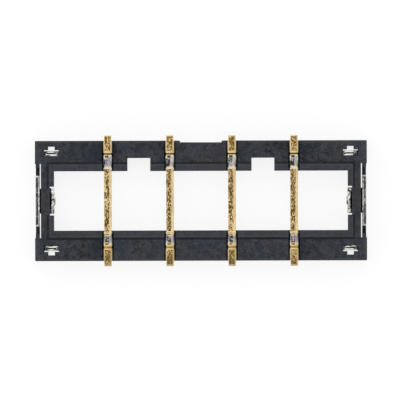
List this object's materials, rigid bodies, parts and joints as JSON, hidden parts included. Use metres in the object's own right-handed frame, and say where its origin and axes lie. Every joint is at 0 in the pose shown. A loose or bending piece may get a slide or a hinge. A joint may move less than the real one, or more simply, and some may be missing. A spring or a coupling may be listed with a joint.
{
  "type": "flexible printed circuit battery connector",
  "caption": "Low flat board connector for a flexible printed circuit: an open moulded frame with gold bars across its window and a stamped latch clip folded over each end.",
  "frame": {"origin": "centre of the bounding box on its lowest plane, which is the face of the frame that meets the plug", "axes": "+X along the frame, +Y across it towards the long wall with the two keyways, +Z from the plug side to the solder side"},
  "size_m": [0.0102, 0.004, 0.001],
  "materials": {
    "housing_plastic": "moulded charcoal plastic with a fine glass fibre mottle",
    "contact_gold": "gold plate over nickel, with a bare nickel band near each tail",
    "clip_metal": "bright plated spring sheet with sheared edges"
  },
  "bodies": {
    "root": {"housing": "housing_plastic", "contact_1": "contact_gold", "contact_2": "contact_gold", "contact_3": "contact_gold", "contact_4": "contact_gold", "end_clip_left": "clip_metal", "end_clip_right": "clip_metal"}
  },
  "joints": []
}
